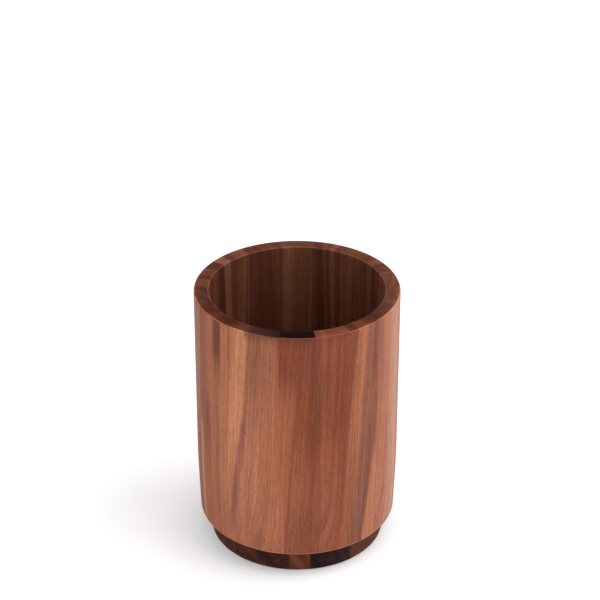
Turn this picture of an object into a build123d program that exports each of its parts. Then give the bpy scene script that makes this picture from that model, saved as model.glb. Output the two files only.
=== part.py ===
from build123d import *
import os
from math import pi, sqrt, tan

os.makedirs("parts", exist_ok=True)

# A round utensil crock coopered from wooden staves, which turns on a low round base.
# Millimetres. +Z is up, the axis of turning is Z, and z = 0 is the plane the feet stand on.
# -Y is the front. Staves are numbered from the front, anticlockwise seen from above.

# Crock wall
crock_diameter = 140.0
overall_height = 191.0
wall_thickness = 10.3
stave_count = 18
rim_chamfer = 0.8
underside_chamfer = 0.9
heel_draw_in = 1.5
heel_height = 45.0

# Crock floor, held in a groove (the croze) that runs round inside the staves
floor_thickness = 10.0
croze_depth = 4.0
croze_end_clearance = 0.1
croze_top_clearance = 0.1
floor_glue_lines = (-44.0, -16.0, 12.0, 40.0)

# Base disc
base_diameter = 121.5
base_thickness = 16.3
base_edge_chamfer = 0.6
base_glue_lines = (-42.0, -28.0, -16.5, -5.5, 9.0, 37.0)
turning_gap = 1.8

# Rubber pads stuck under the base as feet
foot_count = 4
foot_sides = 16
foot_diameter = 14.0
foot_thickness = 0.8
foot_inset = 13.0

# Square turntable bearing of pressed steel
bearing_size = 76.2
bearing_corner_radius = 8.0
sheet_thickness = 1.0
ball_diameter = 5.0
ball_count = 16
ball_sides = 8
ball_circle_diameter = 54.0
ball_clearance = 0.05
race_back_relief = 0.45
race_rim_width = 1.2
hub_bore_diameter = 40.0
hub_clearance = 0.4
curl_clearance = 0.3
curl_reach = 3.0
bearing_hole_inset = 6.35
bearing_hole_diameter = 4.2

# Pan head screws, which are prisms of few sides as their holes are, and the hole through which
# a screwdriver reaches the screws of the crock
screw_diameter = 3.0
screw_head_diameter = 6.6
screw_head_height = 2.2
screw_sides = 10
crock_screw_length = 8.0
base_screw_length = 12.0
pilot_clearance = 0.05
pilot_extra_depth = 0.8
driver_hole_diameter = 11.0

# Heights and radii that follow from the sizes above
crock_radius = crock_diameter / 2
bore_radius = crock_radius - wall_thickness
base_radius = base_diameter / 2
base_bottom = foot_thickness
base_top = base_bottom + base_thickness
crock_bottom = base_top + turning_gap
ball_radius = ball_diameter / 2
race_radius = ball_radius + ball_clearance
bearing_height = 2 * (race_radius + sheet_thickness + race_back_relief)
floor_bottom = base_top + bearing_height
floor_top = floor_bottom + floor_thickness
floor_radius = bore_radius + croze_depth - croze_end_clearance
ball_circle_radius = ball_circle_diameter / 2
hub_bore_radius = hub_bore_diameter / 2
hub_tube_radius = hub_bore_radius + sheet_thickness
curl_radius = hub_tube_radius + curl_reach
curl_top = bearing_height - curl_clearance
octagon_half_side = tan(pi / 8)
bearing_hole_offset = bearing_size / 2 - bearing_hole_inset
bearing_hole_circle_radius = bearing_hole_offset * sqrt(2)
foot_circle_radius = base_radius - foot_inset
pilot_radius = screw_diameter / 2 + pilot_clearance
stave_angle = 360 / stave_count
front_angle = -90.0

parts = {}


def at_height(section):
    """Stand a section drawn in XY, with x the radius and y the height, up on the XZ plane."""
    return Plane.XZ * section


def nearest_vertex(section, x, y):
    return section.vertices().sort_by_distance(Vector(x, y, 0))[0]


def stave_section():
    """Section of the wall: drawn-in heel, straight side, eased rim and the croze."""
    heel_radius = crock_radius - heel_draw_in
    groove_radius = bore_radius + croze_depth
    groove_top = floor_top + croze_top_clearance
    outline = Polyline(
        (crock_radius, overall_height),
        (crock_radius, crock_bottom + heel_height),
        (heel_radius, crock_bottom),
        (bore_radius, crock_bottom),
        (bore_radius, floor_bottom),
        (groove_radius, floor_bottom),
        (groove_radius, groove_top),
        (bore_radius, groove_top),
        (bore_radius, overall_height),
        close=True,
    )
    section = make_face(outline)
    rim = [nearest_vertex(section, radius, overall_height) for radius in (bore_radius, crock_radius)]
    section = chamfer(rim, rim_chamfer)
    return chamfer(nearest_vertex(section, heel_radius, crock_bottom), underside_chamfer)


def make_staves():
    wedge = revolve(at_height(stave_section()), Axis.Z, revolution_arc=stave_angle)
    for number in range(stave_count):
        turn = front_angle - stave_angle / 2 + number * stave_angle
        parts[f"stave_{number + 1:02d}"] = Rot(0, 0, turn) * wedge


def bearing_corners():
    """The four screw places of the square bearing."""
    offset = bearing_hole_offset
    return [(x, y) for x in (-offset, offset) for y in (-offset, offset)]


def screw_prism(radius, length):
    """Prism that stands for a round screw head, shank or hole, from z = 0 upwards."""
    return extrude(RegularPolygon(radius, screw_sides), length)


def pilot_holes(mouth_height, length, direction):
    """Screw holes in wood from their mouths, going up (direction 1) or down (direction -1)."""
    depth = length - sheet_thickness + pilot_extra_depth
    hole = screw_prism(pilot_radius, direction * depth)
    return [Pos(x, y, mouth_height) * hole for x, y in bearing_corners()]


def cut_into_strips(disc, glue_lines, name):
    """Cut a disc along its glue lines, which run front to back, into numbered strips."""
    reach = 2 * (crock_diameter + overall_height)
    edges = [-reach, *sorted(glue_lines), reach]
    for number, (left, right) in enumerate(zip(edges, edges[1:]), start=1):
        slab = Box(right - left, 2 * reach, 2 * reach, align=(Align.MIN, Align.CENTER, Align.CENTER))
        parts[f"{name}_{number}"] = disc & (Pos(left, 0, 0) * slab)


def make_floor():
    disc = Pos(0, 0, floor_bottom) * Cylinder(
        floor_radius, floor_thickness, align=(Align.CENTER, Align.CENTER, Align.MIN)
    )
    disc -= pilot_holes(floor_bottom, crock_screw_length, 1)
    cut_into_strips(disc, floor_glue_lines, "floor_strip")


def driver_hole():
    """Hole behind the bearing, in the base's middle strip, which each crock screw passes over."""
    left = max(line for line in base_glue_lines if line < 0)
    right = min(line for line in base_glue_lines if line > 0)
    x = (left + right) / 2
    y = sqrt(bearing_hole_circle_radius**2 - x**2)
    return Pos(x, y, 0) * screw_prism(driver_hole_diameter / 2, base_top)


def make_base():
    disc = Pos(0, 0, base_bottom) * Cylinder(
        base_radius, base_thickness, align=(Align.CENTER, Align.CENTER, Align.MIN)
    )
    disc = chamfer(disc.edges().group_by(Axis.Z)[0], base_edge_chamfer)
    disc -= pilot_holes(base_top, base_screw_length, -1)
    disc -= driver_hole()
    cut_into_strips(disc, base_glue_lines, "base_strip")


def make_feet():
    pad = extrude(RegularPolygon(foot_diameter / 2, foot_sides), foot_thickness)
    places = PolarLocations(foot_circle_radius, foot_count, start_angle=45)
    parts["rubber_feet"] = Compound([(place * pad).solid() for place in places])


def race_outline(inner_points):
    """Half of the bearing's section, standing on its mounting face at y = 0.

    Each side of the sheet is a stretch of an octagon round the ball's centre, which the ball
    touches at its bottom and at its two slanting sides. Outside the groove the sheet has a
    ridge that falls at 45 degrees to the flange. inner_points close the section on the side
    of the hub, from the back of the sheet round to its ball side.
    """
    middle = bearing_height / 2
    shoulder = 2 * (sheet_thickness + curl_clearance)
    back = shoulder - sheet_thickness
    back_radius = race_radius + sheet_thickness
    groove_flat = race_radius * octagon_half_side
    groove_half = groove_flat + shoulder - (middle - race_radius)
    back_flat = back_radius * octagon_half_side
    back_half = back_flat + back - (middle - back_radius)
    ridge_radius = ball_circle_radius + groove_half
    ridge_back = shoulder - sheet_thickness * sqrt(2)
    slope_foot = ridge_radius + shoulder - sheet_thickness
    rim_radius = slope_foot + race_rim_width
    outline = Polyline(
        (ridge_radius, shoulder),
        (slope_foot, sheet_thickness),
        (rim_radius, sheet_thickness),
        (rim_radius, 0),
        (ridge_radius + ridge_back, 0),
        (ridge_radius, ridge_back),
        (ball_circle_radius + back_flat, middle - back_radius),
        (ball_circle_radius - back_flat, middle - back_radius),
        (ball_circle_radius - back_half, back),
        *inner_points(back, shoulder),
        (ball_circle_radius - groove_half, shoulder),
        (ball_circle_radius - groove_flat, middle - race_radius),
        (ball_circle_radius + groove_flat, middle - race_radius),
        close=True,
    )
    return make_face(outline), rim_radius


def lip_points(back, shoulder):
    """Inner edge of the crock's plate: a plain lip that the hub's curl holds down."""
    lip_radius = hub_tube_radius + hub_clearance
    return [(lip_radius, back), (lip_radius, shoulder)]


def hub_points(back, shoulder):
    """Hub of the base's plate: a tube through the other plate, curled out over its lip."""
    return [
        (hub_bore_radius, back),
        (hub_bore_radius, curl_top),
        (curl_radius, curl_top),
        (curl_radius, curl_top - sheet_thickness),
        (hub_tube_radius, curl_top - sheet_thickness),
        (hub_tube_radius, shoulder),
    ]


def bearing_plate(section, rim_radius):
    """Square pressed plate: revolved race, flat square flange and four screw holes."""
    flange = extrude(
        RectangleRounded(bearing_size, bearing_size, bearing_corner_radius), sheet_thickness
    )
    flange -= Cylinder(rim_radius, 4 * sheet_thickness)
    plate = flange + revolve(at_height(section), Axis.Z)
    hole = screw_prism(bearing_hole_diameter / 2, sheet_thickness)
    plate -= [Pos(x, y, 0) * hole for x, y in bearing_corners()]
    return plate


def faceted_ball():
    """Ball as a convex solid with its corners on the sphere, on rings of latitude."""
    step = 180 / (ball_sides // 2)
    latitudes = [-90 + step / 2 + step * ring for ring in range(ball_sides // 2)]
    corners = [Vector(0, 0, height) for height in (-ball_radius, ball_radius)]
    for latitude in latitudes:
        for side in range(ball_sides):
            corner = Vector(ball_radius, 0, 0).rotate(Axis.Y, latitude)
            corners.append(corner.rotate(Axis.Z, side * 360 / ball_sides))
    return ConvexPolyhedron(corners).solid()


def make_bearing():
    section, rim_radius = race_outline(hub_points)
    base_plate = bearing_plate(section, rim_radius)
    parts["bearing_base_plate"] = Pos(0, 0, base_top) * base_plate
    section, rim_radius = race_outline(lip_points)
    crock_plate = bearing_plate(section, rim_radius)
    parts["bearing_crock_plate"] = Pos(0, 0, floor_bottom) * Rot(180, 0, 0) * crock_plate
    ball = faceted_ball()
    ring = PolarLocations(ball_circle_radius, ball_count)
    middle = base_top + bearing_height / 2
    parts["bearing_balls"] = Compound([Pos(0, 0, middle) * spot * ball for spot in ring])


def pan_head_screw(length):
    """Screw with its point down and the underside of its head at z = 0."""
    head = screw_prism(screw_head_diameter / 2, screw_head_height)
    return head + screw_prism(screw_diameter / 2, -length)


def make_screws():
    base_screw = Pos(0, 0, base_top + sheet_thickness) * pan_head_screw(base_screw_length)
    crock_screw = (
        Pos(0, 0, floor_bottom - sheet_thickness) * Rot(180, 0, 0) * pan_head_screw(crock_screw_length)
    )
    for name, screw in (("base_screws", base_screw), ("crock_screws", crock_screw)):
        parts[name] = Compound([(Pos(x, y, 0) * screw).solid() for x, y in bearing_corners()])


make_staves()
make_floor()
make_base()
make_feet()
make_bearing()
make_screws()

for name, shape in parts.items():
    export_step(shape, f"parts/{name}.step")
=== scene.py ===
from dataclasses import dataclass
from math import acos, cos, degrees, pi, radians, sin, sqrt
from random import Random

import bmesh
import bpy
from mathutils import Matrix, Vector


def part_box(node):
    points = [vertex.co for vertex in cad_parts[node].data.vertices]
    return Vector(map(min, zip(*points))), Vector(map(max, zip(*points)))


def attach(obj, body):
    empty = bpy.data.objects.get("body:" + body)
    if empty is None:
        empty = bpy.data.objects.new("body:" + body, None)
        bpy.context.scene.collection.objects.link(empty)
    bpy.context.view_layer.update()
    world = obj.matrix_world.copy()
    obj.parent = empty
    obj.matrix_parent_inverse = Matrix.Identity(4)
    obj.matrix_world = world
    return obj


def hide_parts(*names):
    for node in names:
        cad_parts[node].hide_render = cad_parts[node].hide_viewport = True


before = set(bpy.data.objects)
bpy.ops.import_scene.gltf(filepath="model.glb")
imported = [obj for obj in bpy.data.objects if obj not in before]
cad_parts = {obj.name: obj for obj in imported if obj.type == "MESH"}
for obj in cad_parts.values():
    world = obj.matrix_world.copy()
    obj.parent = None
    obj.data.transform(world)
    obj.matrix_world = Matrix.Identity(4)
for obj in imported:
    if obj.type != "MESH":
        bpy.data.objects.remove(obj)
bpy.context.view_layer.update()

# A utensil crock coopered from 18 staves of oiled acacia, on a round base that it turns on.
# Metres. +Z is up, the crock turns about Z, and -Y is the front. Azimuths are in degrees,
# 0 at the front and positive to the right, as seen from the front.

# Sizes read from the solids
STAVE_COUNT = 18
stave_angle = 2 * pi / STAVE_COUNT
stave_low, stave_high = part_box("stave_01")
crock_radius = -stave_low.y
bore_radius = -stave_high.y / cos(stave_angle / 2)
crock_bottom, crock_top = stave_low.z, stave_high.z
floor_low, floor_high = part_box("floor_strip_3")
base_low, base_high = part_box("base_strip_5")
base_radius = -base_low.y
plate_low, plate_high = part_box("bearing_base_plate")
foot_low, foot_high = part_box("rubber_feet")

# Shape of the wall
RIM_ROUND = 0.0014
RIM_SEGMENTS = 5
UNDERSIDE_ROUND = 0.0011
UNDERSIDE_SEGMENTS = 6
HEEL_HEIGHT = 0.045
HEEL_DRAW_IN = 0.0015
HEEL_EASE = 1.25
HEEL_STEPS = 5
CROZE_DEPTH = 0.004
CROZE_CLEARANCE = 0.0001
STAVE_SPIN_STEPS = 14

# How a mesh is finished, and how near two places are to count as one
MERGE_DISTANCE = 1e-6
SAME_PLACE = 1e-5
SMOOTH_ANGLE = radians(35)
CORNER_SEGMENTS = 4


def only(piece):
    """Make the piece the one thing that is selected and active."""
    bpy.ops.object.select_all(action="DESELECT")
    piece.select_set(True)
    bpy.context.view_layer.objects.active = piece


def settle(piece):
    """Put the object at the origin, unturned and unscaled, with its place in its mesh."""
    only(piece)
    bpy.ops.object.transform_apply(location=True, rotation=True, scale=True)


def start(name):
    """Take the primitive that was just added as a piece, settle it and open it for editing."""
    piece = bpy.context.active_object
    piece.name = piece.data.name = name
    settle(piece)
    bpy.ops.object.mode_set(mode="EDIT")
    return piece


def pick(piece, kind, wanted):
    """In edit mode, select the corners, edges or faces whose middle passes the test."""
    bpy.ops.mesh.select_mode(type=kind)
    bpy.ops.mesh.select_all(action="DESELECT")
    mesh = bmesh.from_edit_mesh(piece.data)
    for part in {"VERT": mesh.verts, "EDGE": mesh.edges, "FACE": mesh.faces}[kind]:
        corners = [part.co] if kind == "VERT" else [corner.co for corner in part.verts]
        if wanted(sum(corners, Vector()) / len(corners)):
            part.select_set(True)
    mesh.select_flush_mode()
    bmesh.update_edit_mesh(piece.data)


def cut(place, normal, **options):
    """In edit mode, cut the whole mesh along a plane."""
    bpy.ops.mesh.select_all(action="SELECT")
    bpy.ops.mesh.bisect(plane_co=place, plane_no=normal, **options)


def close_edit():
    """Merge doubles, turn the faces outwards, leave edit mode and shade the round faces smooth."""
    bpy.ops.mesh.select_all(action="SELECT")
    bpy.ops.mesh.remove_doubles(threshold=MERGE_DISTANCE)
    bpy.ops.mesh.normals_make_consistent(inside=False)
    bpy.ops.object.mode_set(mode="OBJECT")
    bpy.ops.object.shade_smooth_by_angle(angle=SMOOTH_ANGLE)


def near(value, target):
    return abs(value - target) < SAME_PLACE


def make_stave_blank():
    """The first stave's wood: its section drawn on a plane, then spun through one stave."""
    middle = ((bore_radius + crock_radius) / 2, 0, (crock_bottom + crock_top) / 2)
    bpy.ops.mesh.primitive_plane_add(size=1, location=middle, rotation=(pi / 2, 0, 0))
    bpy.context.active_object.scale = (crock_radius - bore_radius, crock_top - crock_bottom, 1)
    stave = start("stave_blank")
    croze_bottom, croze_top = floor_low.z, floor_high.z + CROZE_CLEARANCE
    croze_radius = bore_radius + CROZE_DEPTH
    for height in (croze_bottom, croze_top):
        cut((0, 0, height), (0, 0, 1))
    cut((croze_radius, 0, 0), (1, 0, 0))
    pick(stave, "FACE", lambda at: at.x < croze_radius and croze_bottom < at.z < croze_top)
    bpy.ops.mesh.delete(type="FACE")
    heights = [crock_bottom + HEEL_HEIGHT * (1 - step / HEEL_STEPS) for step in range(HEEL_STEPS)]
    for height in heights:
        cut((0, 0, height), (0, 0, 1))
    for height in (crock_bottom, croze_bottom, croze_top, *heights):
        drop = 1 - (height - crock_bottom) / HEEL_HEIGHT
        pick(stave, "VERT", lambda at: near(at.x, crock_radius) and near(at.z, height))
        bpy.ops.transform.translate(value=(-HEEL_DRAW_IN * drop**HEEL_EASE, 0, 0))
    pick(stave, "VERT", lambda at: near(at.z, crock_top) and not near(at.x, croze_radius))
    bpy.ops.mesh.bevel(offset=RIM_ROUND, segments=RIM_SEGMENTS, affect="VERTICES")
    heel_radius = crock_radius - HEEL_DRAW_IN
    pick(stave, "VERT", lambda at: near(at.z, crock_bottom) and near(at.x, heel_radius))
    bpy.ops.mesh.bevel(offset=UNDERSIDE_ROUND, segments=UNDERSIDE_SEGMENTS, affect="VERTICES")
    bpy.ops.mesh.select_all(action="SELECT")
    bpy.ops.mesh.spin(
        steps=STAVE_SPIN_STEPS, angle=stave_angle, center=(0, 0, 0), axis=(0, 0, 1)
    )
    close_edit()
    return stave


class Finish:
    """A material in the making, with short ways to add and join its nodes."""

    def __init__(self, name):
        self.material = bpy.data.materials.new(name)
        self.material.use_nodes = True
        self.tree = self.material.node_tree
        self.shader = self.tree.nodes["Principled BSDF"]
        self.coordinates = self.tree.nodes.new("ShaderNodeTexCoord")

    def add(self, kind, sockets, out=0, **settings):
        """Add a node with its settings and inputs, and give back one of its outputs."""
        node = self.tree.nodes.new("ShaderNode" + kind)
        for setting, value in settings.items():
            setattr(node, setting, value)
        for socket, value in sockets.items():
            self.feed(node.inputs[socket], value)
        return node.outputs[out]

    def feed(self, socket, value):
        """Link a socket to another node's output, or set it to a plain value."""
        if isinstance(value, bpy.types.NodeSocket):
            self.tree.links.new(value, socket)
        else:
            socket.default_value = value

    def sum(self, operation, first, second=0.0):
        return self.add("Math", {0: first, 1: second}, operation=operation)

    def line(self, value, slope, start):
        return self.add("Math", {0: value, 1: slope, 2: start}, operation="MULTIPLY_ADD")

    def ramp(self, value, low, high, start=0.0, end=1.0):
        """Map low..high to start..end, eased at both ends."""
        sockets = {0: value, 1: low, 2: high, 3: start, 4: end}
        return self.add("MapRange", sockets, interpolation_type="SMOOTHSTEP")

    def mix(self, factor, first, second, blend="MIX"):
        sockets = {0: factor, 6: first, 7: second}
        return self.add("Mix", sockets, out=2, data_type="RGBA", blend_type=blend)

    def move(self, place, shift=(0, 0, 0), turn=(0, 0, 0), scale=(1, 1, 1)):
        return self.add("Mapping", {0: place, 1: shift, 2: turn, 3: scale})

    def noise(self, place, scale, detail=2.0, roughness=0.5):
        sockets = {"Vector": place, "Scale": scale, "Detail": detail, "Roughness": roughness}
        return self.add("TexNoise", sockets, noise_dimensions="3D")

    def line_noise(self, distance, scale, detail=2.0):
        sockets = {"W": distance, "Scale": scale, "Detail": detail}
        return self.add("TexNoise", sockets, noise_dimensions="1D")

    def bump(self, height, strength, distance):
        """Relief that the shader alone shows, with its distance in metres."""
        return self.add("Bump", {"Strength": strength, "Distance": distance, "Height": height})

    def shaded(self, colour, shade):
        """Multiply a colour by one value."""
        shades = self.add("CombineXYZ", {0: shade, 1: shade, 2: shade})
        return self.mix(1.0, colour, shades, blend="MULTIPLY")

    def set(self, **values):
        """Set or link inputs of the surface shader, with _ in place of each blank."""
        for name, value in values.items():
            self.feed(self.shader.inputs[name.replace("_", " ")], value)


def seen(red, green, blue):
    """A colour as it is seen, in steps of 255, as the linear colour that a shader takes."""
    shares = [channel / 255 for channel in (red, green, blue)]
    linear = [((share + 0.055) / 1.055) ** 2.4 for share in shares]
    return (*linear, 1.0)


def random_shift(chance):
    """Where in a pattern a piece lies, so that no two pieces show the same part of it."""
    return tuple(chance.uniform(-1, 1) for _ in range(3))


# How the wood is grained. Spacings are counts to the metre, stretches are shares of the spacing
# across the grain, and the sway and the places of the pith are in metres.
GRAIN_STRETCH = 0.035
PORE_STRETCH = 0.055
FIGURE_STRETCH = 0.4
SWAY_SPACING = 22
RING_SPACING = 150
LINE_SPACING = 1500
FIBRE_SPACING = 1500
FIGURE_SPACING = 60
PORE_SPACING = 2500
FINE_PORE_SPACING = 3500
RING_SWAY = 0.012
PITH_ASIDE = (0.03, 0.08)
PITH_BEHIND = 0.1

# The noise values between which a mark of the grain goes from nothing to full
MIDDLE_LEVELS = (0.3, 0.7)
RING_LEVELS = (0.36, 0.66)
FIBRE_LEVELS = (0.25, 0.75)
PORE_LEVELS = (0.58, 0.68)
FINE_PORE_LEVELS = (0.55, 0.65)

# What the marks of the grain multiply the colour by
END_SHADE = (0.42, 0.36, 0.36)
LINE_SHADES = (0.88, 1.08)
FIBRE_SHADES = (0.88, 1.10)
FIGURE_SHADES = (0.94, 1.05)
PORE_SHADE = 0.70
FINE_PORE_SHADE = 0.84

# The wood's surface: its oil, the range of its roughness, the fibre's relief as a share of the
# pores', and how squarely a face looks along the grain where end grain begins and where it is full
OIL_COAT = 0.24
END_COAT = 0.06
COAT_ROUGHNESS = 0.32
WOOD_ROUGHNESS = (0.5, 0.62)
FIBRE_RELIEF = 0.5
END_GRAIN_FACING = (0.78, 0.99)

# Painted shade of the inner wall, and painted highlights on the rim's outer band and the eased
# lower edge.
# The width is in metres, and a facing is two upward parts of a face's normal, between which the
# painted highlight comes or goes.
INNER_SHADE = 0.38
RIM_HIGHLIGHT = 0.28
RIM_HIGHLIGHT_WIDTH = 0.0065
RIM_FACING = (0.5, 0.9)
HEEL_HIGHLIGHT = 0.5
HEEL_UPPER_FACING = (-0.4, -0.1)
HEEL_LOWER_FACING = (-0.98, -0.8)
# Colour of the painted highlight on the eased lower edge
HEEL_HIGHLIGHT_TINT = (200, 160, 146)


def wood(
    name, light, dark, seed, turn=(0, 0, 0), lean=0.0, end_shade=END_SHADE, coat=OIL_COAT,
    streaks=(), centre=0.0,
):
    """Oiled acacia as a solid pattern, with its grain along Z once the place is turned by turn.

    light and dark are the colours of the growth bands, seed picks the piece's part of the
    pattern, lean tilts the grain to the right, in radians, end_shade darkens the end grain, coat
    is how much the oil shines, and streaks are laid over the bands, at azimuths that count from
    centre.
    """
    chance = Random(seed)
    finish = Finish(name)
    place = finish.move(finish.coordinates.outputs["Object"], turn=turn)
    grained = finish.move(place, shift=random_shift(chance), turn=(0, -lean, 0))
    along = finish.move(grained, scale=(1, 1, GRAIN_STRETCH))
    sway = finish.noise(along, SWAY_SPACING, detail=3)
    pith_aside = chance.choice((-1, 1)) * chance.uniform(*PITH_ASIDE)
    pith = (pith_aside, chance.uniform(-PITH_BEHIND, 0), 0)
    across = finish.move(finish.move(place, turn=(0, -lean, 0)), shift=pith, scale=(1, 1, 0))
    ring = finish.add("VectorMath", {0: across}, out=1, operation="LENGTH")
    ring = finish.sum("ADD", ring, finish.sum("MULTIPLY", sway, RING_SWAY))
    bands = finish.ramp(finish.line_noise(ring, RING_SPACING, detail=3), *RING_LEVELS)
    colour = finish.mix(bands, seen(*dark), seen(*light))
    colour = lay_streaks(finish, colour, place, sway, streaks, centre)
    lines = finish.line_noise(ring, LINE_SPACING, detail=1)
    lines = finish.ramp(lines, *MIDDLE_LEVELS, *LINE_SHADES)
    fibre = finish.noise(along, FIBRE_SPACING, detail=2)
    along_figure = finish.move(grained, scale=(1, 1, FIGURE_STRETCH))
    figure = finish.noise(along_figure, FIGURE_SPACING, detail=2)
    along_pores = finish.move(grained, scale=(1, 1, PORE_STRETCH))
    pores = finish.noise(along_pores, PORE_SPACING, detail=1)
    pores = finish.ramp(pores, *PORE_LEVELS)
    fine_pores = finish.noise(along_pores, FINE_PORE_SPACING, detail=1)
    fine_pores = finish.ramp(fine_pores, *FINE_PORE_LEVELS)
    shade = finish.sum("MULTIPLY", lines, finish.ramp(fibre, *FIBRE_LEVELS, *FIBRE_SHADES))
    shade = finish.sum("MULTIPLY", shade, finish.ramp(figure, *MIDDLE_LEVELS, *FIGURE_SHADES))
    shade = finish.sum("MULTIPLY", shade, finish.ramp(pores, 0.0, 1.0, 1.0, PORE_SHADE))
    shade = finish.sum("MULTIPLY", shade, finish.ramp(fine_pores, 0.0, 1.0, 1.0, FINE_PORE_SHADE))
    colour = finish.shaded(colour, shade)
    normal = finish.move(finish.coordinates.outputs["Normal"], turn=turn)
    upright = finish.add("SeparateXYZ", {0: normal}, out=2)
    end_grain = finish.ramp(finish.sum("ABSOLUTE", upright), *END_GRAIN_FACING)
    darkened = finish.mix(1.0, colour, (*end_shade, 1.0), blend="MULTIPLY")
    colour = finish.mix(end_grain, colour, darkened)
    relief = finish.sum("SUBTRACT", finish.sum("MULTIPLY", fibre, FIBRE_RELIEF), pores)
    bump = finish.bump(relief, strength=0.22, distance=0.0002)
    roughness = finish.ramp(fibre, *MIDDLE_LEVELS, *WOOD_ROUGHNESS)
    coat = finish.ramp(end_grain, 0.0, 1.0, coat, END_COAT)
    finish.set(Base_Color=colour, Roughness=roughness, Normal=bump, Coat_Weight=coat)
    finish.set(Specular_IOR_Level=0.0, Coat_Roughness=COAT_ROUGHNESS)
    return finish


# How far the edges of a streak wander with the grain, in degrees
STREAK_WANDER = 2.4


@dataclass
class Streak:
    """A stripe up the wall, laid over the growth bands of the staves that it crosses.

    top, bottom, width and edge are degrees round the wall: its middle at the rim and at the
    underside, half its width and half the softness of its edges. bow is how far its middle
    swings to the right of a straight line. low, high and fade are metres up the wall. A streak
    with staves is on those alone.
    """

    tint: tuple
    strength: float
    top: float
    bottom: float
    width: float
    edge: float = 1.2
    bow: float = 0.0
    low: float = 0.0
    high: float = 1.0
    fade: float = 0.012
    staves: tuple = ()

    def meets(self, number, azimuth):
        """Tell whether the streak is on a stave, by its number and the azimuth of its middle."""
        if self.staves:
            return number in self.staves
        reach = self.width + self.edge + degrees(stave_angle) / 2 + STREAK_WANDER
        return min(self.top, self.bottom) - reach < azimuth < max(self.top, self.bottom) + reach


def lay_streaks(finish, colour, place, sway, streaks, centre):
    """Lay streaks over the colour, at azimuths that count from centre."""
    x, y, z = (finish.add("SeparateXYZ", {0: place}, out=axis) for axis in range(3))
    azimuth = finish.sum("ARCTAN2", x, finish.sum("MULTIPLY", y, -1.0))
    azimuth = finish.sum("ADD", finish.sum("MULTIPLY", azimuth, 180 / pi), centre)
    wander = finish.sum("MULTIPLY", finish.sum("SUBTRACT", sway, 0.5), 2 * STREAK_WANDER)
    azimuth = finish.sum("ADD", azimuth, wander)
    rise = finish.sum("DIVIDE", finish.sum("SUBTRACT", z, crock_bottom), crock_top - crock_bottom)
    # The bow: nothing at the rim and the underside, and 1 halfway, as 4 * rise * (1 - rise)
    swing = finish.sum("SUBTRACT", 4.0, finish.sum("MULTIPLY", rise, 4.0))
    swing = finish.sum("MULTIPLY", rise, swing)
    for streak in streaks:
        middle = finish.line(rise, streak.top - streak.bottom, streak.bottom)
        if streak.bow:
            middle = finish.sum("ADD", middle, finish.sum("MULTIPLY", swing, streak.bow))
        away = finish.sum("ABSOLUTE", finish.sum("SUBTRACT", azimuth, middle))
        inner, outer = streak.width - streak.edge, streak.width + streak.edge
        mask = finish.ramp(away, inner, outer, streak.strength, 0.0)
        if streak.low > crock_bottom:
            ends = (streak.low - streak.fade, streak.low + streak.fade)
            mask = finish.sum("MULTIPLY", mask, finish.ramp(z, *ends))
        if streak.high < crock_top:
            ends = (streak.high - streak.fade, streak.high + streak.fade)
            mask = finish.sum("MULTIPLY", mask, finish.ramp(z, *ends, 1.0, 0.0))
        colour = finish.mix(mask, colour, seen(*streak.tint))
    return colour


TAN = (196, 130, 94)
PAINTED_SHEEN_TINT = (188, 152, 133)
SAND = (190, 122, 94)
ORANGE = (176, 108, 76)
AMBER = (160, 96, 64)
RUSSET = (128, 64, 42)
UMBER = (96, 50, 38)
SOOT = (60, 32, 26)
PLUM = (134, 82, 64)
MAUVE = (130, 78, 68)

# The end grain of the rim alone: how deep a streak on it reaches, and how softly it ends
RIM_SKIN = 0.0007
RIM_FACE = crock_top - RIM_SKIN
RIM_BLEND = 0.0005

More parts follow.
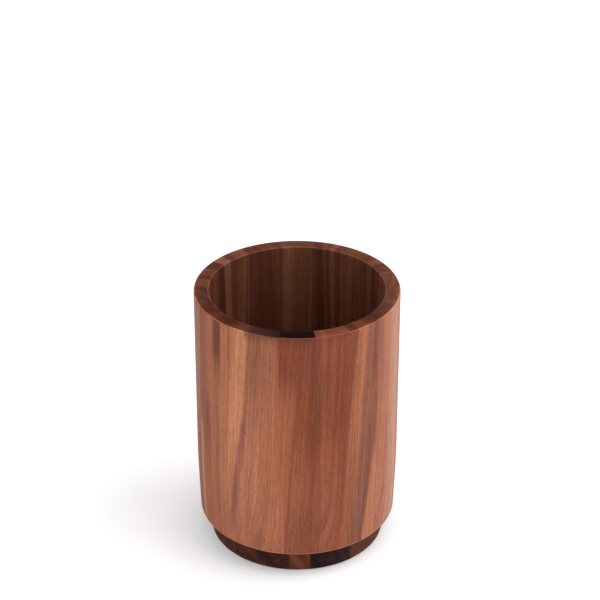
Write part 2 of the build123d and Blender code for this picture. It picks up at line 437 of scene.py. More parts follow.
# Streaks of the front, which run on across the joints where the staves match
FRONT_STREAKS = (
    Streak(TAN, 0.7, -68.5, -68.5, 2.2, high=0.10, staves=(16,)),
    Streak(RUSSET, 0.5, -66.5, -66.5, 1.2, low=0.140, fade=0.02),
    Streak(RUSSET, 0.45, -60, -59, 4, edge=2, low=0.075, high=0.120, fade=0.02),
    Streak(UMBER, 0.3, -60.5, -60, 1.8, edge=1.6, low=0.098, high=0.126, fade=0.012),
    Streak(UMBER, 0.14, -59.5, -59.5, 3.5, edge=2.5, high=0.150, fade=0.02),
    Streak(UMBER, 0.8, -49.5, -52, 2.3, edge=1.8, low=0.160, fade=0.012),
    Streak(UMBER, 0.4, -47.8, -50, 1.0, edge=0.9, low=0.142, fade=0.014),
    Streak(AMBER, 0.3, -48, -48, 7, edge=3, high=0.125, fade=0.025, staves=(16, 17)),
    Streak(ORANGE, 0.55, -53, -54, 3.2, edge=1.6, high=0.150, fade=0.02, staves=(16,)),
    Streak(TAN, 0.4, -46, -46, 3.4, edge=2, low=0.060, high=0.145, fade=0.02, staves=(17,)),
    Streak(SAND, 0.45, -32, -32, 2.6, edge=1.6, high=0.092, fade=0.02, staves=(17,)),
    Streak(SAND, 0.55, -26, -27, 5.5, edge=3, low=0.055, high=0.150, fade=0.018, staves=(18,)),
    Streak(ORANGE, 0.6, -42.5, -42, 3.4, edge=1.5, low=0.095, fade=0.03),
    Streak(RUSSET, 0.5, -40.5, -40.5, 0.7, edge=0.6, low=0.165),
    Streak(TAN, 0.85, -31.6, -43, 4.6, edge=1.9, low=0.083, fade=0.025),
    Streak(MAUVE, 0.75, -23, -42.5, 2.0, edge=1.2, low=0.034, high=0.130, fade=0.018),
    Streak(TAN, 0.3, -33, -33, 2.5, edge=1.8, low=0.045, high=0.100, fade=0.018, staves=(17,)),
    Streak(PLUM, 0.35, -21, -31, 6, edge=2, low=0.120, fade=0.03),
    Streak(ORANGE, 0.7, -13, -12, 8, edge=3, high=0.145, fade=0.03, staves=(18,)),
    Streak(ORANGE, 0.25, -13, -12, 2.6, edge=1.2, low=0.13),
    Streak(RUSSET, 0.85, -4, -4, 7, edge=1.5, low=0.140, fade=0.03, staves=(1,)),
    Streak(RUSSET, 0.35, -10.6, -10.6, 1.5, edge=1.4, low=0.120, fade=0.04, staves=(18,)),
    Streak(ORANGE, 0.5, -3, -8, 6, edge=1.5, bow=-1, high=0.150, fade=0.02, staves=(1,)),
    Streak(RUSSET, 0.5, 19.5, 9.5, 15.5, edge=1.6, bow=-0.5),
    Streak(RUSSET, 0.55, 19.5, 9.5, 15.5, edge=1.6, bow=-0.5, low=0.105, fade=0.025),
    Streak(UMBER, 0.3, 9, 10, 3, edge=2, low=0.085, fade=0.03),
    Streak(PLUM, 0.35, 6, 8, 13, edge=3, high=0.068, fade=0.03),
    Streak(UMBER, 0.42, 3.8, -7, 0.9, edge=0.8, bow=-0.6),
    Streak(ORANGE, 0.28, 2, 0, 5, edge=3, low=0.055, high=0.105, fade=0.015, staves=(1,)),
    Streak(AMBER, 0.35, 14.5, 14, 1.2, edge=1.0),
    Streak(ORANGE, 0.22, 22, 20, 4.5, edge=2.5, high=0.095, fade=0.025, staves=(2,)),
    Streak(ORANGE, 0.45, 39.2, 28.4, 3.4, edge=1.0, bow=-1.2, low=0.090, fade=0.04),
    Streak(AMBER, 0.4, 39.2, 28.4, 3.2, edge=1.2, bow=-1.2, high=0.090, fade=0.04),
    Streak(PLUM, 0.8, 47, 36.5, 4.2, edge=1.6),
    Streak(UMBER, 0.3, 48, 39, 1.6, edge=1.2, bow=1.5),
    Streak(ORANGE, 0.25, 46.5, 46.5, 2.2, edge=1.6, low=0.108, high=0.146, fade=0.015, staves=(3,)),
    Streak(TAN, 0.55, 62, 45.4, 5.2, edge=1.2, high=0.092, fade=0.02, staves=(3,)),
    Streak(PLUM, 0.6, 51, 51, 4, edge=3, low=0.140, fade=0.03, staves=(4,)),
    Streak(UMBER, 0.75, 0, 0, 12, low=0.186, fade=0.006, staves=(1,)),
    Streak(UMBER, 0.6, -20, -20, 12, low=0.187, fade=0.005, staves=(18,)),
    Streak(UMBER, 0.3, 20, 20, 12, low=0.188, fade=0.003, staves=(2,)),
    Streak(SOOT, 0.67, -9, -9, 9.5, edge=7, low=RIM_FACE, fade=RIM_BLEND, staves=(18,)),
    Streak(SOOT, 0.5, -44, -44, 2.5, edge=1.8, low=RIM_FACE, fade=RIM_BLEND, staves=(17,)),
    Streak(AMBER, 0.85, -50.5, -50.5, 4.2, edge=1.5, low=RIM_FACE, fade=RIM_BLEND),
    Streak(TAN, 0.3, -34, -34, 3.5, edge=2, low=RIM_FACE, fade=RIM_BLEND, staves=(17,)),
    # Painted sheen: staves 4 and 5 paler towards the right flank, where the lamp's light and the
    # oil's shine fall
    Streak(PAINTED_SHEEN_TINT, 0.35, 69, 69, 6, edge=4, staves=(4, 5)),
    # Painted shade: the lower left flank of stave 15 darker, on the side away from the lamp
    Streak(UMBER, 0.35, -76, -76, 5, edge=3, high=0.100, fade=0.03, staves=(15,)),
)

# How far the front's grain leans from upright, in radians
FRONT_LEAN = 0.045

# Growth band colours and end grain shade of the staves that the front shows, by number
STAVE_TONES = {
    1: ((160, 90, 62), (140, 74, 50), (0.05, 0.02, 0.018)),
    2: ((154, 88, 62), (134, 72, 50), (0.76, 0.80, 0.95)),
    3: ((158, 96, 70), (138, 80, 60), (0.34, 0.29, 0.30)),
    4: ((176, 112, 86), (158, 97, 74), (0.20, 0.165, 0.155)),
    5: ((182, 120, 94), (162, 102, 78), (0.28, 0.24, 0.24)),
    15: ((168, 112, 92), (146, 92, 73), (0.24, 0.20, 0.20)),
    16: ((162, 98, 68), (142, 82, 56), (0.23, 0.195, 0.205)),
    17: ((174, 108, 80), (156, 94, 68), (0.19, 0.145, 0.14)),
    18: ((170, 104, 76), (152, 91, 68), (0.24, 0.23, 0.26)),
}

# The same for the staves that the front doesn't show, to draw from, and their streaks: how many
# a stave has, and in degrees how far they lie from its middle, slant, bow and reach sideways
BACK_TONES = (
    ((168, 102, 76), (144, 84, 62), (0.34, 0.34, 0.37)),
    ((150, 86, 64), (126, 68, 50), (0.43, 0.43, 0.49)),
    ((178, 114, 86), (152, 92, 68), (0.31, 0.31, 0.33)),
)
BACK_TINTS = (TAN, ORANGE, AMBER, RUSSET, UMBER, PLUM)
BACK_COUNTS = (2, 4)
BACK_SPREAD = 11
BACK_SLANT = 5
BACK_BOW = 1.5
BACK_WIDTHS = (0.8, 4.0)
BACK_STRENGTHS = (0.35, 0.7)

# Where the random draws of each kind of board begin
STAVE_SEED = 40
BASE_SEED = 70
FLOOR_SEED = 90


def facing(number):
    """Azimuth of a stave's middle, from -160 to 180."""
    azimuth = (number - 1) * 360 / STAVE_COUNT
    return azimuth - 360 if azimuth > 180 else azimuth


def back_streaks(chance, azimuth):
    """Streaks of a stave that the front doesn't show."""
    streaks = []
    for _ in range(chance.randint(*BACK_COUNTS)):
        bottom = azimuth + chance.uniform(-BACK_SPREAD, BACK_SPREAD)
        top = bottom + chance.uniform(-BACK_SLANT, BACK_SLANT)
        tint = chance.choice(BACK_TINTS)
        width = chance.uniform(*BACK_WIDTHS)
        strength = chance.uniform(*BACK_STRENGTHS)
        bow = chance.uniform(-BACK_BOW, BACK_BOW)
        streaks.append(Streak(tint, strength, top, bottom, width, bow=bow))
    return streaks


def stave_finish(number):
    """One stave's acacia, as the photograph shows it or, round the back, drawn by chance."""
    azimuth = facing(number)
    chance = Random(number)
    if number in STAVE_TONES:
        tones = STAVE_TONES[number]
        lean = FRONT_LEAN
        streaks = [streak for streak in FRONT_STREAKS if streak.meets(number, azimuth)]
    else:
        tones = chance.choice(BACK_TONES)
        lean = chance.uniform(-FRONT_LEAN, FRONT_LEAN)
        streaks = back_streaks(chance, azimuth)
    light, dark, end_shade = tones
    finish = wood(
        f"stave_{number:02d}_acacia", light, dark, STAVE_SEED + number,
        turn=(0, 0, -radians(azimuth)), lean=lean, end_shade=end_shade,
        streaks=streaks, centre=azimuth,
    )
    paint_shade_and_highlights(finish)
    return finish.material


def paint_shade_and_highlights(finish):
    """Darken the inner wall with painted shade, and make the rim's outer band and the eased lower
    edge paler as painted highlights.
    """
    flat = finish.move(finish.coordinates.outputs["Object"], scale=(1, 1, 0))
    radius = finish.add("VectorMath", {0: flat}, out=1, operation="LENGTH")
    facing_up = finish.add("SeparateXYZ", {0: finish.coordinates.outputs["Normal"]}, out=2)
    # Painted shade: the inner wall and the inner rounding of the rim are darkened to stand in for
    # the shade inside the crock
    inside = finish.ramp(radius, bore_radius, bore_radius + RIM_ROUND, INNER_SHADE, 1.0)
    # Painted highlight: the outer band of the rim's top is made paler towards the outer edge
    outward = finish.ramp(radius, crock_radius - RIM_HIGHLIGHT_WIDTH, crock_radius - RIM_ROUND)
    rim = finish.sum("MULTIPLY", outward, finish.ramp(facing_up, *RIM_FACING))
    shade = finish.sum("MULTIPLY", inside, finish.line(rim, RIM_HIGHLIGHT, 1.0))
    colour = finish.shader.inputs["Base Color"].links[0].from_socket
    colour = finish.shaded(colour, shade)
    # Painted highlight: the eased lower edge is made paler and greyer, as a reflection of the floor
    # would show
    rounded = finish.ramp(facing_up, *HEEL_UPPER_FACING, HEEL_HIGHLIGHT, 0.0)
    heel = finish.sum("MULTIPLY", rounded, finish.ramp(facing_up, *HEEL_LOWER_FACING))
    finish.set(Base_Color=finish.mix(heel, colour, seen(*HEEL_HIGHLIGHT_TINT)))


def make_staves():
    """Copy the blank to each stave's place round the wall, and finish each copy."""
    blank = make_stave_blank()
    for number in range(1, STAVE_COUNT + 1):
        stave = blank.copy()
        stave.data = blank.data.copy()
        stave.name = stave.data.name = f"turned_stave_{number:02d}"
        bpy.context.collection.objects.link(stave)
        stave.rotation_euler.z = -pi / 2 + radians(facing(number)) + stave_angle / 2
        settle(stave)
        stave.data.materials.clear()
        stave.data.materials.append(stave_finish(number))
        finished(stave, "crock", "stave_wood", f"stave_{number:02d}")
    bpy.data.objects.remove(blank)


def finished(piece, body, slot, *nodes):
    """Tie a finished piece to its body and hide the nodes that it stands for; slot is not used."""
    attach(piece, body)
    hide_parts(*nodes)


# Base disc
BASE_EDGE_ROUND = 0.0004
BASE_EDGE_SEGMENTS = 3
BASE_SIDES = 192
DRIVER_HOLE_SIDES = 48
DRIVER_HOLE_RADIUS = 0.0055
DRIVER_HOLE_CIRCLE = 0.0449
BASE_STRIP_COUNT = 7
BASE_COAT = 0.12
BASE_END_SHADE = (0.85, 0.82, 0.82)
BASE_TONES = {
    1: ((93, 50, 35), (64, 34, 26)),
    2: ((94, 50, 40), (66, 35, 30)),
    3: ((80, 47, 40), (56, 33, 30)),
    4: ((79, 45, 38), (58, 34, 29)),
    5: ((126, 72, 50), (102, 56, 41)),
    6: ((62, 37, 35), (44, 28, 29)),
    7: ((112, 64, 48), (84, 48, 38)),
}


def make_base():
    """The base: a disc with eased edges and the driver hole, cut into its glued strips."""
    height = base_high.z - base_low.z
    bpy.ops.mesh.primitive_cylinder_add(
        vertices=BASE_SIDES, radius=base_radius, depth=height,
        location=(0, 0, (base_low.z + base_high.z) / 2),
    )
    disc = start("base_blank")
    for level in (base_low.z, base_high.z):
        pick(disc, "EDGE", lambda at: near(at.z, level) and at.xy.length > base_radius / 2)
        bpy.ops.mesh.bevel(offset=BASE_EDGE_ROUND, segments=BASE_EDGE_SEGMENTS)
    bpy.ops.object.mode_set(mode="OBJECT")
    hole_x = (base_low.x + base_high.x) / 2
    hole_y = sqrt(DRIVER_HOLE_CIRCLE**2 - hole_x**2)
    drill_length = 4 * height
    bpy.ops.mesh.primitive_cylinder_add(
        vertices=DRIVER_HOLE_SIDES, radius=DRIVER_HOLE_RADIUS, depth=drill_length,
        location=(hole_x, hole_y, 0),
    )
    combine(disc, bpy.context.active_object, "DIFFERENCE")
    for number in range(1, BASE_STRIP_COUNT + 1):
        strip = disc.copy()
        strip.data = disc.data.copy()
        strip.name = strip.data.name = f"base_plank_{number}"
        bpy.context.collection.objects.link(strip)
        only(strip)
        bpy.ops.object.mode_set(mode="EDIT")
        low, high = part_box(f"base_strip_{number}")
        if number > 1:
            cut((low.x, 0, 0), (1, 0, 0), use_fill=True, clear_inner=True)
        if number < BASE_STRIP_COUNT:
            cut((high.x, 0, 0), (1, 0, 0), use_fill=True, clear_outer=True)
        close_edit()
        light, dark = BASE_TONES[number]
        strip.data.materials.clear()
        strip.data.materials.append(wood(
            f"base_plank_{number}_acacia", light, dark, BASE_SEED + number,
            turn=(pi / 2, 0, 0), end_shade=BASE_END_SHADE, coat=BASE_COAT,
        ).material)
        finished(strip, "base", "base_wood", f"base_strip_{number}")
    bpy.data.objects.remove(disc)


FLOOR_TONES = (
    ((150, 88, 66), (124, 70, 52)),
    ((140, 80, 60), (116, 62, 46)),
    ((160, 98, 74), (132, 76, 56)),
    ((134, 74, 56), (108, 58, 44)),
    ((154, 90, 68), (128, 72, 54)),
)


def finish_floor():
    """The floor strips are flat and mostly hidden, so their solids stay, in the same wood."""
    for number, (light, dark) in enumerate(FLOOR_TONES, start=1):
        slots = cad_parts[f"floor_strip_{number}"].material_slots
        slots[0].material = wood(
            f"floor_plank_{number}_acacia", light, dark, FLOOR_SEED + number, turn=(pi / 2, 0, 0)
        ).material


# Turntable bearing of pressed sheet, between the crock's floor and the base
SHEET = 0.001
SHEET_BEND = 0.0009
PLATE_SIDES = 96
PLATE_CORNER = 0.008
PLATE_CORNER_SEGMENTS = 10
PLATE_HOLE_SIDES = 32
PLATE_HOLE_RADIUS = 0.0021
PLATE_HOLE_INSET = 0.00635
BALL_COUNT = 16
BALL_RADIUS = 0.0025
BALL_CIRCLE = 0.027
BALL_CUTS = 7
GROOVE_RADIUS = 0.00305
GROOVE_STEPS = 10
SHOULDER = 0.0021
HUB_RADIUS = 0.0205
LIP_RADIUS = 0.0214
CURL_RADIUS = 0.024
CURL_HEIGHT = 0.0072
plate_size = plate_high.x - plate_low.x
bearing_bottom, bearing_top = base_high.z, floor_low.z
ball_height = (bearing_top - bearing_bottom) / 2
hole_reach = plate_size / 2 - PLATE_HOLE_INSET
screw_places = [(x, y, 0) for x in (-hole_reach, hole_reach) for y in (-hole_reach, hole_reach)]


def draw_profile(name, points):
    """Half of a turned shape's outline: a line through points of radius and height."""
    bpy.ops.mesh.primitive_plane_add(size=1)
    piece = start(name)
    pick(piece, "VERT", lambda at: True)
    bpy.ops.mesh.merge(type="CENTER")
    bpy.ops.transform.translate(value=(points[0][0], 0, points[0][1]))
    for (radius, height), (next_radius, next_height) in zip(points, points[1:]):
        step = (next_radius - radius, 0, next_height - height)
        bpy.ops.mesh.extrude_vertices_move(TRANSFORM_OT_translate={"value": step})
    return piece


def round_corner(piece, corner, size):
    """In edit mode, round one corner of a profile."""
    pick(piece, "VERT", lambda at: near(at.x, corner[0]) and near(at.z, corner[1]))
    bpy.ops.mesh.bevel(offset=size, segments=CORNER_SEGMENTS, affect="VERTICES")


def turn_round(steps):
    """In edit mode, spin the whole profile once round Z and close its seam and poles."""
    bpy.ops.mesh.select_all(action="SELECT")
    bpy.ops.mesh.spin(steps=steps, angle=2 * pi, center=(0, 0, 0), axis=(0, 0, 1))
    close_edit()


def combine(piece, tool, operation):
    """Cut the piece with the tool, or keep what both hold, and throw the tool away."""
    only(piece)
    change = piece.modifiers.new(operation.lower(), "BOOLEAN")
    change.object = tool
    change.operation = operation
    bpy.ops.object.modifier_apply(modifier=change.name)
    bpy.ops.object.shade_smooth_by_angle(angle=SMOOTH_ANGLE)
    bpy.data.objects.remove(tool)


def spread(piece, places):
    """Copy a piece to each place, each copy with its own mesh, and join the copies."""
    copies = []
    for place in places:
        twin = piece.copy()
        twin.data = piece.data.copy()
        bpy.context.collection.objects.link(twin)
        twin.location = place
        settle(twin)
        copies.append(twin)
    for twin in copies:
        twin.select_set(True)
    bpy.ops.object.join()
    joined = bpy.context.active_object
    joined.name = joined.data.name = piece.name + "_set"
    bpy.data.objects.remove(piece)
    return joined


def press_plate(name, inner_edge, bends):
    """A square plate pressed from sheet round its ball race, with a hole in each corner.

    inner_edge is the outline inside the race, of which bends are the corners that are rounded.
    """
    sweep = acos((ball_height - SHOULDER) / GROOVE_RADIUS)
    angles = [sweep * (2 * step / GROOVE_STEPS - 1) for step in range(GROOVE_STEPS + 1)]
    race = [
        (BALL_CIRCLE + GROOVE_RADIUS * sin(angle), ball_height - GROOVE_RADIUS * cos(angle))
        for angle in angles
    ]
    foot = (race[-1][0] + SHOULDER - SHEET / 2, SHEET / 2)
    plate = draw_profile(name, [*inner_edge, *race, foot, (plate_size, SHEET / 2)])
    for corner in (*bends, foot):
        round_corner(plate, corner, SHEET_BEND)
    for corner in (race[0], race[-1]):
        round_corner(plate, corner, SHEET_BEND / 2)
    turn_round(PLATE_SIDES)
    wall = plate.modifiers.new("sheet", "SOLIDIFY")
    wall.thickness = SHEET
    wall.offset = 0
    wall.use_even_offset = True
    bpy.ops.object.modifier_apply(modifier=wall.name)

    bpy.ops.mesh.primitive_cube_add(size=plate_size)
    square = start("plate_square")
    pick(square, "EDGE", lambda at: near(at.z, 0))
    bpy.ops.mesh.bevel(offset=PLATE_CORNER, segments=PLATE_CORNER_SEGMENTS)
    bpy.ops.object.mode_set(mode="OBJECT")
    combine(plate, square, "INTERSECT")
    punch_length = 10 * SHEET
    bpy.ops.mesh.primitive_cylinder_add(
        vertices=PLATE_HOLE_SIDES, radius=PLATE_HOLE_RADIUS, depth=punch_length
    )
    combine(plate, spread(bpy.context.active_object, screw_places), "DIFFERENCE")
    return plate


def make_bearing():
    """The lower plate's hub passes up through the upper plate and is curled out over its lip."""
    curl_edge = (CURL_RADIUS, CURL_HEIGHT)
    hub_top = (HUB_RADIUS, CURL_HEIGHT)
    hub_foot = (HUB_RADIUS, SHOULDER)
    zinc = zinc_plated("bearing_zinc", seed=5)
    lower = press_plate("pressed_base_plate", [curl_edge, hub_top, hub_foot], [hub_top, hub_foot])
    lower.location.z = bearing_bottom
    upper = press_plate("pressed_crock_plate", [(LIP_RADIUS, SHOULDER)], [])
    upper.rotation_euler.x = pi
    upper.location.z = bearing_top
    for plate, body in ((lower, "base"), (upper, "crock")):
        settle(plate)
        plate.data.materials.append(zinc)
        finished(plate, body, "bearing_steel", f"bearing_{body}_plate")


def make_balls():
    """Balls between the races, each an evenly divided cube that is cast to a sphere."""
    bpy.ops.mesh.primitive_cube_add(size=2 * BALL_RADIUS)
    ball = start("bearing_ball")
    bpy.ops.mesh.select_all(action="SELECT")
    bpy.ops.mesh.subdivide(number_cuts=BALL_CUTS)
    close_edit()
    cast = ball.modifiers.new("round", "CAST")
    cast.factor = 1
    cast.use_radius_as_size = False
    cast.size = BALL_RADIUS
    bpy.ops.object.modifier_apply(modifier=cast.name)
    bpy.ops.object.shade_smooth()
    turns = [2 * pi * number / BALL_COUNT for number in range(BALL_COUNT)]
    height = bearing_bottom + ball_height
    places = [(BALL_CIRCLE * cos(turn), BALL_CIRCLE * sin(turn), height) for turn in turns]
    balls = spread(ball, places)
    balls.data.materials.append(polished_steel())
    finished(balls, "ball_ring", "ball_steel", "bearing_balls")


# Pan head wood screws. The top of the head falls by HEAD_CROWN towards its edge, which is at a
# share of the head's radius. The side rises to the brim, at a share of the head's height.
HEAD_RADIUS = 0.0033
HEAD_HEIGHT = 0.0022
HEAD_CROWN = 0.00015
CROWN_SHARE = 0.55
BRIM_SHARE = 0.45
CROWN_ROUND = HEAD_RADIUS / 4
BRIM_ROUND = HEAD_RADIUS / 6
SEAT_ROUND = 0.00015
SCREW_SIDES = 40
CORE_RADIUS = 0.0011
THREAD_RADIUS = 0.0015
THREAD_PITCH = 0.0013
THREAD_STEPS = 20
BARE_SHANK = 0.001
POINT_LENGTH = 0.0022
DRIVE_REACH = 0.0019
DRIVE_WIDTH = 0.0008
DRIVE_DEPTH = 0.0015
DRIVE_TAPER = 0.4
BASE_SCREW_LENGTH = 0.012
CROCK_SCREW_LENGTH = 0.008


def make_screw(name, length):
    """A screw with its point down and the underside of its head at z = 0."""
    crown = (CROWN_SHARE * HEAD_RADIUS, HEAD_HEIGHT - HEAD_CROWN)
    brim = (HEAD_RADIUS, BRIM_SHARE * HEAD_HEIGHT)
    seat = (HEAD_RADIUS, 0)
    screw = draw_profile(name, [
        (0, HEAD_HEIGHT), crown, brim, seat,
        (CORE_RADIUS, 0), (CORE_RADIUS, POINT_LENGTH - length), (0, -length),
    ])
    for corner, size in ((crown, CROWN_ROUND), (brim, BRIM_ROUND), (seat, SEAT_ROUND)):
        round_corner(screw, corner, size)
    turn_round(SCREW_SIDES)
    combine(screw, make_drive(), "DIFFERENCE")
    thread = make_thread(length)
    only(screw)
    thread.select_set(True)
    bpy.ops.object.join()
    return screw


def make_drive():
    """The cross of a screw's drive recess, which narrows towards its bottom."""
    blades = []
    for turn in (0, pi / 2):
        bpy.ops.mesh.primitive_cube_add(size=1, location=(0, 0, HEAD_HEIGHT), rotation=(0, 0, turn))
        bpy.context.active_object.scale = (2 * DRIVE_REACH, DRIVE_WIDTH, 2 * DRIVE_DEPTH)
        blade = start("drive_blade")
        pick(blade, "FACE", lambda at: near(at.z, HEAD_HEIGHT - DRIVE_DEPTH))
        bpy.ops.transform.resize(
            value=(DRIVE_TAPER, DRIVE_TAPER, 1), center_override=(0, 0, 0)
        )
        bpy.ops.object.mode_set(mode="OBJECT")
        blades.append(blade)
    combine(*blades, "UNION")
    return blades[0]


def make_thread(length):
    """A sharp ridge that winds up the shank, and runs out to a point at both ends."""
    depth = THREAD_RADIUS - CORE_RADIUS / 2
    corner_reach = depth * 2 / 3
    bottom = POINT_LENGTH - length
    rounds = int((length - POINT_LENGTH - BARE_SHANK) / THREAD_PITCH)
    bpy.ops.mesh.primitive_circle_add(
        vertices=3, radius=corner_reach, rotation=(pi / 2, pi / 2, 0),
        location=(THREAD_RADIUS - corner_reach, 0, bottom),
    )
    thread = bpy.context.active_object
    settle(thread)
    winding = thread.modifiers.new("thread", "SCREW")
    winding.iterations = rounds
    winding.screw_offset = THREAD_PITCH
    winding.steps = winding.render_steps = THREAD_STEPS
    bpy.ops.object.modifier_apply(modifier=winding.name)
    bpy.ops.object.mode_set(mode="EDIT")
    for end in (bottom, bottom + rounds * THREAD_PITCH):
        pick(thread, "VERT", lambda at: (
            near(at.y, 0) and at.x > 0 and abs(at.z - end) < THREAD_PITCH / 2
        ))
        bpy.ops.mesh.merge(type="CENTER")
    close_edit()
    return thread


def make_screws():
    """Four screws hold each plate: the lower ones point down and the upper ones up."""
    zinc = zinc_plated("screw_zinc", seed=8)
    lower = spread(make_screw("base_wood_screw", BASE_SCREW_LENGTH), screw_places)
    lower.location.z = bearing_bottom + SHEET
    upper = spread(make_screw("crock_wood_screw", CROCK_SCREW_LENGTH), screw_places)
    upper.rotation_euler.x = pi
    upper.location.z = bearing_top - SHEET
    for screws, body in ((lower, "base"), (upper, "crock")):
        settle(screws)
        screws.data.materials.append(zinc)
        finished(screws, body, "screw_steel", f"{body}_screws")


# Finishes of the metals and the rubber: the tones that a pattern goes between, the pattern's
# spacing in counts to the metre, the noise values between which it goes from nothing to full, and
# the range of roughness
ZINC_TONES = ((0.52, 0.53, 0.55, 1), (0.66, 0.67, 0.67, 1))
ZINC_CLOUD_SPACING = 260
ZINC_CLOUD_LEVELS = (0.35, 0.65)
ZINC_GRAIN_SPACING = 4000
ZINC_ROUGHNESS = (0.36, 0.46)
ZINC_CLOUD_POLISH = 0.08
BALL_TONES = ((0.80, 0.81, 0.82, 1), (0.66, 0.64, 0.58, 1))
BALL_SMEAR_SPACING = 420
BALL_SMEAR_LEVELS = (0.4, 0.65)
BALL_ROUGHNESS = (0.08, 0.24)
RUBBER_TONES = ((0.020, 0.020, 0.022, 1), (0.040, 0.039, 0.038, 1))
RUBBER_DUST_SPACING = 500
RUBBER_DUST_LEVELS = (0.4, 0.7)
RUBBER_GRAIN_SPACING = 3500
RUBBER_ROUGHNESS = (0.72, 0.88)


def zinc_plated(name, seed):
    """Zinc-plated steel: pale grey, faintly clouded and satin."""
    finish = Finish(name)
    shift = random_shift(Random(seed))
    place = finish.move(finish.coordinates.outputs["Object"], shift=shift)
    clouds = finish.noise(place, ZINC_CLOUD_SPACING, detail=3)
    clouds = finish.ramp(clouds, *ZINC_CLOUD_LEVELS)
    grain = finish.noise(place, ZINC_GRAIN_SPACING, detail=2)
    colour = finish.mix(clouds, *ZINC_TONES)
    bump = finish.bump(grain, strength=0.15, distance=0.00005)
    roughness = finish.ramp(grain, *MIDDLE_LEVELS, *ZINC_ROUGHNESS)
    roughness = finish.line(clouds, -ZINC_CLOUD_POLISH, roughness)
    finish.set(Base_Color=colour, Metallic=1.0, Roughness=roughness, Normal=bump)
    return finish.material


def polished_steel():
    """Polished ball steel under a thin smear of grease."""
    finish = Finish("polished_ball_steel")
    place = finish.coordinates.outputs["Object"]
    smear = finish.noise(place, BALL_SMEAR_SPACING, detail=3)
    smear = finish.ramp(smear, *BALL_SMEAR_LEVELS)
    colour = finish.mix(smear, *BALL_TONES)
    bump = finish.bump(smear, strength=0.08, distance=0.00005)
    roughness = finish.ramp(smear, 0.0, 1.0, *BALL_ROUGHNESS)
    finish.set(Base_Color=colour, Metallic=1.0, Roughness=roughness, Normal=bump)
    return finish.material


# Rubber feet, stuck to the underside of the base
FOOT_SIDES = 48
FOOT_RADIUS = 0.007
FOOT_EDGE_ROUND = 0.0003
FOOT_GRIP_RINGS = 3
FOOT_GRIP_PITCH = 0.0014
FOOT_GRIP_WIDTH = 0.0003
FOOT_GRIP_DEPTH = 0.0002


def make_feet():
    """Round pads with a soft lower edge and fine grip rings in their flat underside."""
    height = foot_high.z - foot_low.z
    bpy.ops.mesh.primitive_cylinder_add(
        vertices=FOOT_SIDES, radius=FOOT_RADIUS, depth=height,
        location=(0, 0, foot_low.z + height / 2),
    )
    foot = start("rubber_pad")
    pick(foot, "EDGE", lambda at: near(at.z, foot_low.z) and at.xy.length > FOOT_RADIUS / 2)
    bpy.ops.mesh.bevel(offset=FOOT_EDGE_ROUND, segments=CORNER_SEGMENTS)
    pick(foot, "FACE", lambda at: near(at.z, foot_low.z) and at.xy.length < FOOT_RADIUS / 2)
    for _ in range(FOOT_GRIP_RINGS):
        bpy.ops.mesh.inset(thickness=FOOT_GRIP_PITCH)
        bpy.ops.mesh.inset(thickness=FOOT_GRIP_WIDTH, depth=-FOOT_GRIP_DEPTH)
        bpy.ops.mesh.inset(thickness=FOOT_GRIP_WIDTH, depth=FOOT_GRIP_DEPTH)
    close_edit()
    reach = foot_high.x - FOOT_RADIUS
    feet = spread(foot, [(x, y, 0) for x in (-reach, reach) for y in (-reach, reach)])
    feet.data.materials.append(rubber())
    finished(feet, "base", "foot_rubber", "rubber_feet")


def rubber():
    """Matt black rubber, faintly dusty."""
    finish = Finish("pad_rubber")
    place = finish.coordinates.outputs["Object"]
    dust = finish.noise(place, RUBBER_DUST_SPACING, detail=4)
    dust = finish.ramp(dust, *RUBBER_DUST_LEVELS)
    grain = finish.noise(place, RUBBER_GRAIN_SPACING, detail=2)
    colour = finish.mix(dust, *RUBBER_TONES)
    bump = finish.bump(grain, strength=0.2, distance=0.0001)
    roughness = finish.ramp(dust, 0.0, 1.0, *RUBBER_ROUGHNESS)
    finish.set(Base_Color=colour, Roughness=roughness, Normal=bump)
    return finish.material


# Camera at the photograph's place, over a pale floor
CAMERA_ELEVATION = radians(28.756)
CAMERA_DISTANCE = 1.3587
CAMERA_AIM_HEIGHT = 0.1811
CAMERA_LENS = 120.26
CAMERA_SHIFT = 0.0048
AMBIENT = 0.88
FLOOR_SIZE = 12.0
FLOOR_GREY = 0.9

# The floor's glow, which shows where the floor is seen and lights nothing matt: its strengths, and
# the distances from the crock's axis between which it grows at the shadow's edge and again far off.
# The weaker glow near the crock is a painted shadow, deepening the shadow where the crock stands.
CONTACT_GLOW = 0.14
FLOOR_GLOW = 0.18
FAR_GLOW = 0.08
CONTACT_REACH = (0.07, 0.11)
FAR_REACH = (0.3, 1.0)


def make_camera():
    data = bpy.data.cameras.new("camera")
    data.lens = CAMERA_LENS
    data.shift_x = CAMERA_SHIFT
    camera = bpy.data.objects.new("camera", data)
    reach = CAMERA_DISTANCE * cos(CAMERA_ELEVATION)
    rise = CAMERA_DISTANCE * sin(CAMERA_ELEVATION)
    camera.location = (0, -reach, CAMERA_AIM_HEIGHT + rise)
    camera.rotation_euler = (pi / 2 - CAMERA_ELEVATION, 0, 0)
    bpy.context.collection.objects.link(camera)
    bpy.context.scene.camera = camera


def add_lamp(name, place, aim, size, power):
    """A round soft lamp that is turned towards aim, with its power in watts."""
    data = bpy.data.lights.new(name, "AREA")
    data.shape = "DISK"
    data.size = size
    data.energy = power
    lamp = bpy.data.objects.new(name, data)
    lamp.location = place
    lamp.rotation_euler = (Vector(aim) - Vector(place)).to_track_quat("-Z", "Y").to_euler()
    bpy.context.collection.objects.link(lamp)


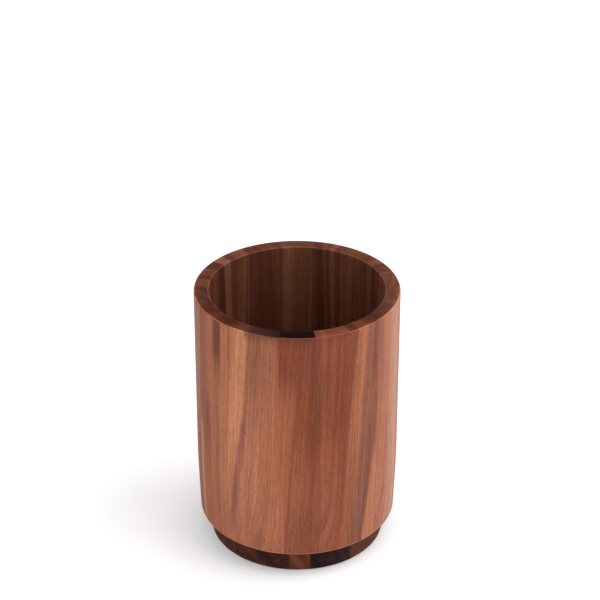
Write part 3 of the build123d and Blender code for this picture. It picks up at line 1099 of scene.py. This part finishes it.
def seen_directly(tree):
    """1 for what the camera sees straight, in a gloss or through something, and else 0."""
    path = tree.nodes.new("ShaderNodeLightPath")
    share = path.outputs["Is Camera Ray"]
    for ray in ("Is Glossy Ray", "Is Transmission Ray"):
        either = tree.nodes.new("ShaderNodeMath")
        either.operation = "MAXIMUM"
        tree.links.new(share, either.inputs[0])
        tree.links.new(path.outputs[ray], either.inputs[1])
        share = either.outputs[0]
    return share


def make_surroundings():
    world = bpy.data.worlds.new("studio")
    bpy.context.scene.world = world
    world.use_nodes = True
    tree = world.node_tree
    strength = tree.nodes.new("ShaderNodeMapRange")
    tree.links.new(seen_directly(tree), strength.inputs[0])
    strength.inputs[3].default_value = AMBIENT
    tree.links.new(strength.outputs[0], tree.nodes["Background"].inputs["Strength"])
    tree.nodes["Background"].inputs["Color"].default_value = (1, 1, 1, 1)

    bpy.ops.mesh.primitive_plane_add(size=FLOOR_SIZE)
    floor = bpy.context.active_object
    floor.name = "studio_floor"
    finish = Finish("studio_floor_white")
    grey = (FLOOR_GREY, FLOOR_GREY, FLOOR_GREY, 1.0)
    finish.set(Base_Color=grey, Roughness=1.0, Specular_IOR_Level=0.0)
    place = finish.coordinates.outputs["Object"]
    away = finish.add("VectorMath", {0: place}, out=1, operation="LENGTH")
    # Painted shadow: less glow within CONTACT_REACH of the axis darkens the floor round the crock's
    # foot
    glow = finish.ramp(away, *CONTACT_REACH, CONTACT_GLOW, FLOOR_GLOW)
    glow = finish.sum("ADD", glow, finish.ramp(away, *FAR_REACH, 0.0, FAR_GLOW))
    lift = finish.sum("MULTIPLY", seen_directly(finish.tree), glow)
    finish.set(Emission_Color=(1, 1, 1, 1), Emission_Strength=lift)
    floor.data.materials.append(finish.material)


bpy.context.scene.view_settings.view_transform = "Standard"
make_staves()
make_base()
finish_floor()
make_bearing()
make_balls()
make_screws()
make_feet()
make_camera()
make_surroundings()
add_lamp("key_lamp", place=(1.0, -0.22, 1.5), aim=(0, 0, 0.08), size=1.6, power=17)
add_lamp("fill_lamp", place=(-1.2, -1.0, 1.2), aim=(0, 0, 0.1), size=1.4, power=2)
